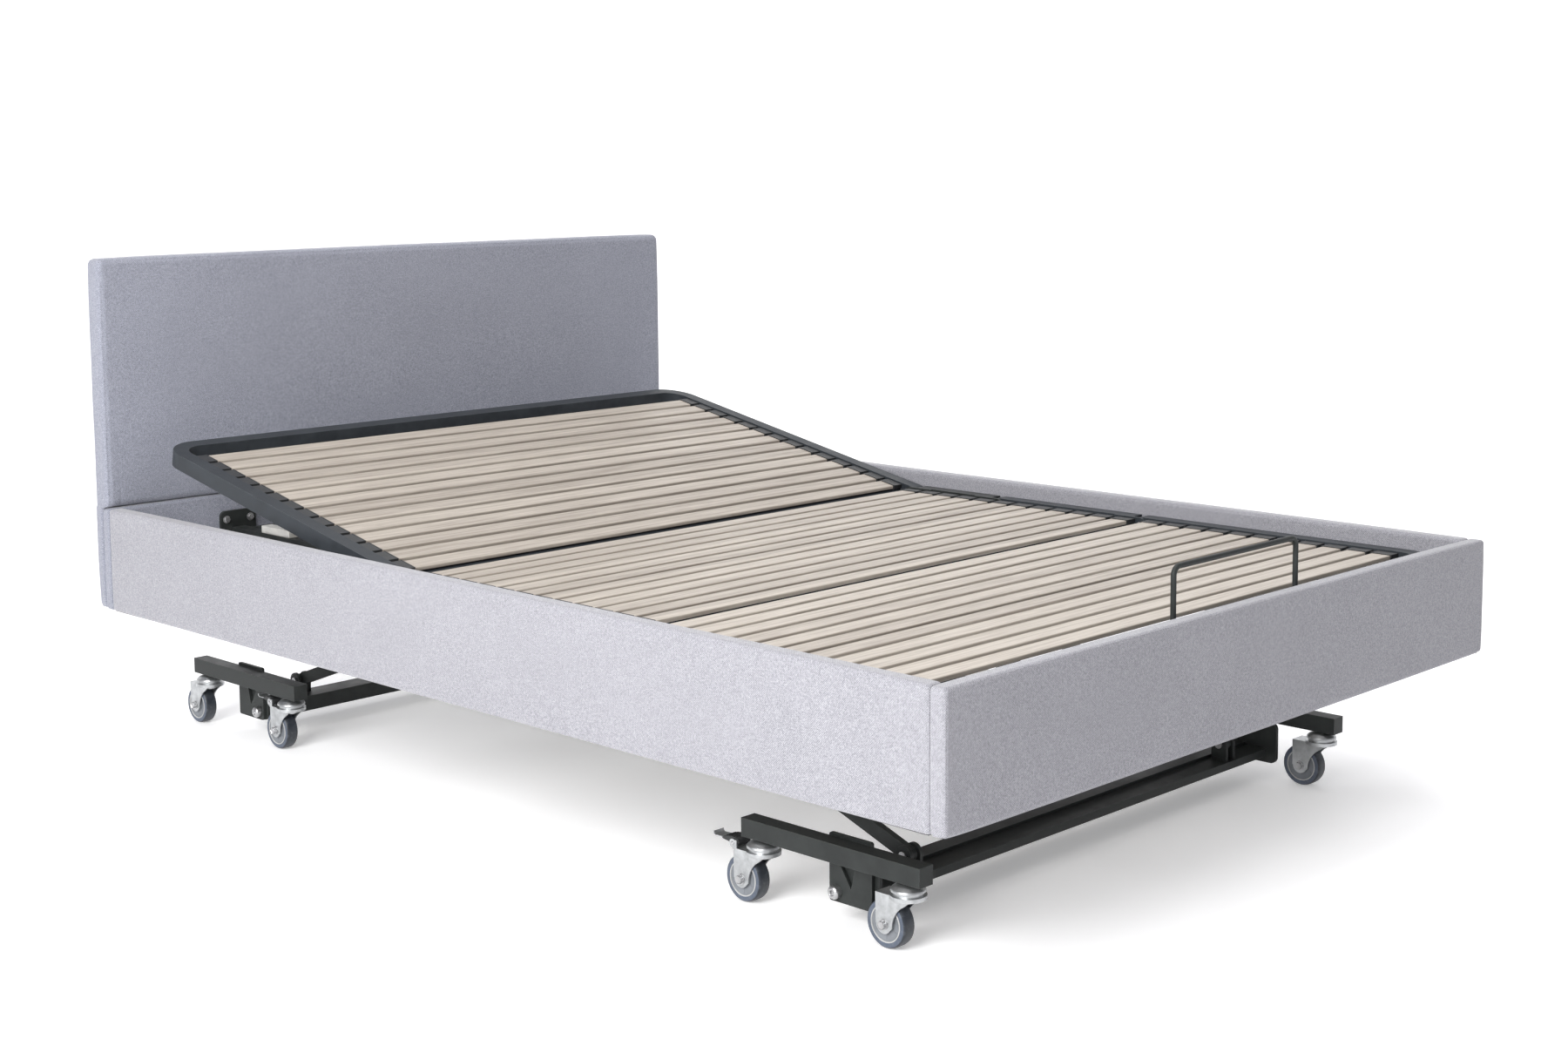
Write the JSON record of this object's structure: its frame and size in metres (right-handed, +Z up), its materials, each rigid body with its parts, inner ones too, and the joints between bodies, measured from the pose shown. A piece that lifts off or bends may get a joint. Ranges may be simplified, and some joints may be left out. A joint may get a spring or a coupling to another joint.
{
  "type": "adjustable bed base",
  "caption": "Upholstered adjustable bed base: jointed slatted deck, headboard, hinged lift legs with actuators, and braked swivel castors.",
  "frame": {"origin": "on the floor under the centre of the bed's bounding box", "axes": "+X to the right seen from the foot, +Y towards the headboard, +Z up"},
  "size_m": [1.49, 2.224, 0.957],
  "materials": {
    "steel_powder": "fine matte charcoal powder coat",
    "black_steel": "matte black powder coat",
    "zinc": "bright zinc plate",
    "fabric": "light grey flat-woven upholstery",
    "board": "raw board",
    "slat": "pale laminated wood",
    "plastic_black": "black moulded plastic",
    "plastic_grey": "grey moulded plastic",
    "nylon": "pale nylon",
    "wheel": "dark blue-grey tyre on a grey rim"
  },
  "bodies": {
    "frame": {"main_frame": "steel_powder", "panel_boards": "board", "headboard_cover": "fabric", "head_panel": "fabric", "foot_panel": "fabric", "left_side_panel": "fabric", "right_side_panel": "fabric", "panel_brackets": "black_steel", "panel_bolts": "zinc", "control_box": "plastic_black", "pivot_pins": "zinc", "deck_glides": "nylon", "seat_slats": "slat", "head_actuator": "plastic_grey", "thigh_actuator": "plastic_grey", "foot_lift_actuator": "plastic_grey", "head_lift_actuator": "plastic_grey"},
    "head_section": {"head_section_frame": "steel_powder", "head_slats": "slat"},
    "thigh_section": {"thigh_frame": "steel_powder", "thigh_slats": "slat", "knee_pins": "zinc"},
    "foot_section": {"foot_section_frame": "steel_powder", "foot_slats": "slat", "mattress_retainer": "black_steel"},
    "head_rod": {"head_actuator_rod": "zinc"},
    "thigh_rod": {"thigh_actuator_rod": "zinc"},
    "foot_lift_rod": {"foot_lift_rod": "zinc"},
    "head_lift_rod": {"head_lift_rod": "zinc"},
    "foot_leg": {"foot_leg": "black_steel"},
    "head_leg": {"head_leg": "black_steel"},
    "foot_base": {"foot_cross_beam": "black_steel", "foot_skates": "steel_powder", "foot_base_bolts": "zinc", "foot_castor_stems": "zinc"},
    "head_base": {"head_cross_beam": "black_steel", "head_skates": "steel_powder", "head_base_bolts": "zinc", "head_castor_stems": "zinc"},
    "castor_foot_left_out": {"fork_foot_left_out": "zinc"},
    "wheel_foot_left_out": {"wheel_foot_left_out": "wheel"},
    "castor_foot_left_in": {"fork_foot_left_in": "zinc"},
    "wheel_foot_left_in": {"wheel_foot_left_in": "wheel"},
    "pedal_foot_left": {"brake_foot_left": "plastic_black"},
    "castor_foot_right_out": {"fork_foot_right_out": "zinc"},
    "wheel_foot_right_out": {"wheel_foot_right_out": "wheel"},
    "castor_foot_right_in": {"fork_foot_right_in": "zinc"},
    "wheel_foot_right_in": {"wheel_foot_right_in": "wheel"},
    "pedal_foot_right": {"brake_foot_right": "plastic_black"},
    "castor_head_left_out": {"fork_head_left_out": "zinc"},
    "wheel_head_left_out": {"wheel_head_left_out": "wheel"},
    "castor_head_left_in": {"fork_head_left_in": "zinc"},
    "wheel_head_left_in": {"wheel_head_left_in": "wheel"},
    "pedal_head_left": {"brake_head_left": "plastic_black"},
    "castor_head_right_out": {"fork_head_right_out": "zinc"},
    "wheel_head_right_out": {"wheel_head_right_out": "wheel"},
    "castor_head_right_in": {"fork_head_right_in": "zinc"},
    "wheel_head_right_in": {"wheel_head_right_in": "wheel"},
    "pedal_head_right": {"brake_head_right": "plastic_black"}
  },
  "joints": [
    {"name": "head_tilt", "type": "hinge", "parent": "frame", "child": "head_section", "pos_m": [0, 0.17, 0.42], "axis": [1, 0, 0], "range_deg": [-11.5, 50]},
    {"name": "thigh_tilt", "type": "hinge", "parent": "frame", "child": "thigh_section", "pos_m": [0, -0.07, 0.42], "axis": [-1, 0, 0], "range_deg": [0, 35]},
    {"name": "knee_fold", "type": "hinge", "parent": "thigh_section", "child": "foot_section", "pos_m": [0, -0.43, 0.42], "axis": [1, 0, 0], "range_deg": [0, 54.2]},
    {"name": "hilo", "type": "hinge", "parent": "frame", "child": "foot_leg", "pos_m": [0, -0.25817, 0.27611], "axis": [1, 0, 0], "range_deg": [-11, 30]},
    {"name": "head_leg_swing", "type": "hinge", "parent": "frame", "child": "head_leg", "pos_m": [0, 0.36217, 0.27611], "axis": [-1, 0, 0], "range_deg": [-11.1, 30.1]},
    {"name": "foot_base_level", "type": "hinge", "parent": "foot_leg", "child": "foot_base", "pos_m": [0, -0.775, 0.088], "axis": [-1, 0, 0], "range_deg": [-11.1, 30.1]},
    {"name": "head_base_level", "type": "hinge", "parent": "head_leg", "child": "head_base", "pos_m": [0, 0.879, 0.088], "axis": [1, 0, 0], "range_deg": [-11.1, 30.1]},
    {"name": "head_rod_slide", "type": "slide", "parent": "frame", "child": "head_rod", "axis": [0, 1, 0], "range_m": [-0.019, 0.08]},
    {"name": "thigh_rod_slide", "type": "slide", "parent": "frame", "child": "thigh_rod", "axis": [0, -1, 0], "range_m": [0, 0.057]},
    {"name": "foot_lift_rod_slide", "type": "slide", "parent": "frame", "child": "foot_lift_rod", "axis": [0, 1, 0], "range_m": [-0.0175, 0.047]},
    {"name": "head_lift_rod_slide", "type": "slide", "parent": "frame", "child": "head_lift_rod", "axis": [0, -1, 0], "range_m": [-0.0175, 0.047]},
    {"name": "swivel_foot_left_out", "type": "hinge", "parent": "foot_base", "child": "castor_foot_left_out", "pos_m": [-0.57, -0.894, 0.095], "axis": [0, 0, 1], "continuous": true},
    {"name": "roll_foot_left_out", "type": "hinge", "parent": "castor_foot_left_out", "child": "wheel_foot_left_out", "pos_m": [-0.57, -0.86, 0.0375], "axis": [1, 0, 0], "continuous": true},
    {"name": "swivel_foot_left_in", "type": "hinge", "parent": "foot_base", "child": "castor_foot_left_in", "pos_m": [-0.57, -0.598, 0.095], "axis": [0, 0, 1], "continuous": true},
    {"name": "roll_foot_left_in", "type": "hinge", "parent": "castor_foot_left_in", "child": "wheel_foot_left_in", "pos_m": [-0.57, -0.564, 0.0375], "axis": [1, 0, 0], "continuous": true},
    {"name": "brake_foot_left", "type": "hinge", "parent": "castor_foot_left_in", "child": "pedal_foot_left", "pos_m": [-0.57, -0.546, 0.091], "axis": [-1, 0, 0], "range_deg": [0, 14]},
    {"name": "swivel_foot_right_out", "type": "hinge", "parent": "foot_base", "child": "castor_foot_right_out", "pos_m": [0.57, -0.894, 0.095], "axis": [0, 0, 1], "continuous": true},
    {"name": "roll_foot_right_out", "type": "hinge", "parent": "castor_foot_right_out", "child": "wheel_foot_right_out", "pos_m": [0.57, -0.86, 0.0375], "axis": [1, 0, 0], "continuous": true},
    {"name": "swivel_foot_right_in", "type": "hinge", "parent": "foot_base", "child": "castor_foot_right_in", "pos_m": [0.57, -0.598, 0.095], "axis": [0, 0, 1], "continuous": true},
    {"name": "roll_foot_right_in", "type": "hinge", "parent": "castor_foot_right_in", "child": "wheel_foot_right_in", "pos_m": [0.57, -0.564, 0.0375], "axis": [1, 0, 0], "continuous": true},
    {"name": "brake_foot_right", "type": "hinge", "parent": "castor_foot_right_in", "child": "pedal_foot_right", "pos_m": [0.57, -0.546, 0.091], "axis": [-1, 0, 0], "range_deg": [0, 14]},
    {"name": "swivel_head_left_out", "type": "hinge", "parent": "head_base", "child": "castor_head_left_out", "pos_m": [-0.57, 0.998, 0.095], "axis": [0, 0, 1], "continuous": true},
    {"name": "roll_head_left_out", "type": "hinge", "parent": "castor_head_left_out", "child": "wheel_head_left_out", "pos_m": [-0.57, 1.032, 0.0375], "axis": [1, 0, 0], "continuous": true},
    {"name": "swivel_head_left_in", "type": "hinge", "parent": "head_base", "child": "castor_head_left_in", "pos_m": [-0.57, 0.702, 0.095], "axis": [0, 0, 1], "continuous": true},
    {"name": "roll_head_left_in", "type": "hinge", "parent": "castor_head_left_in", "child": "wheel_head_left_in", "pos_m": [-0.57, 0.736, 0.0375], "axis": [1, 0, 0], "continuous": true},
    {"name": "brake_head_left", "type": "hinge", "parent": "castor_head_left_in", "child": "pedal_head_left", "pos_m": [-0.57, 0.754, 0.091], "axis": [-1, 0, 0], "range_deg": [0, 14]},
    {"name": "swivel_head_right_out", "type": "hinge", "parent": "head_base", "child": "castor_head_right_out", "pos_m": [0.57, 0.998, 0.095], "axis": [0, 0, 1], "continuous": true},
    {"name": "roll_head_right_out", "type": "hinge", "parent": "castor_head_right_out", "child": "wheel_head_right_out", "pos_m": [0.57, 1.032, 0.0375], "axis": [1, 0, 0], "continuous": true},
    {"name": "swivel_head_right_in", "type": "hinge", "parent": "head_base", "child": "castor_head_right_in", "pos_m": [0.57, 0.702, 0.095], "axis": [0, 0, 1], "continuous": true},
    {"name": "roll_head_right_in", "type": "hinge", "parent": "castor_head_right_in", "child": "wheel_head_right_in", "pos_m": [0.57, 0.736, 0.0375], "axis": [1, 0, 0], "continuous": true},
    {"name": "brake_head_right", "type": "hinge", "parent": "castor_head_right_in", "child": "pedal_head_right", "pos_m": [0.57, 0.754, 0.091], "axis": [-1, 0, 0], "range_deg": [0, 14]}
  ],
  "couplings": [
    {"joint": "knee_fold", "follows": "thigh_tilt", "ratio": 1.5463},
    {"joint": "head_leg_swing", "follows": "hilo", "ratio": 1},
    {"joint": "foot_base_level", "follows": "hilo", "ratio": 1},
    {"joint": "head_base_level", "follows": "hilo", "ratio": 1},
    {"joint": "head_rod_slide", "follows": "head_tilt", "m_per_rad": 0.091},
    {"joint": "thigh_rod_slide", "follows": "thigh_tilt", "m_per_rad": 0.0925},
    {"joint": "foot_lift_rod_slide", "follows": "hilo", "m_per_rad": 0.0885},
    {"joint": "head_lift_rod_slide", "follows": "hilo", "m_per_rad": 0.0885}
  ]
}
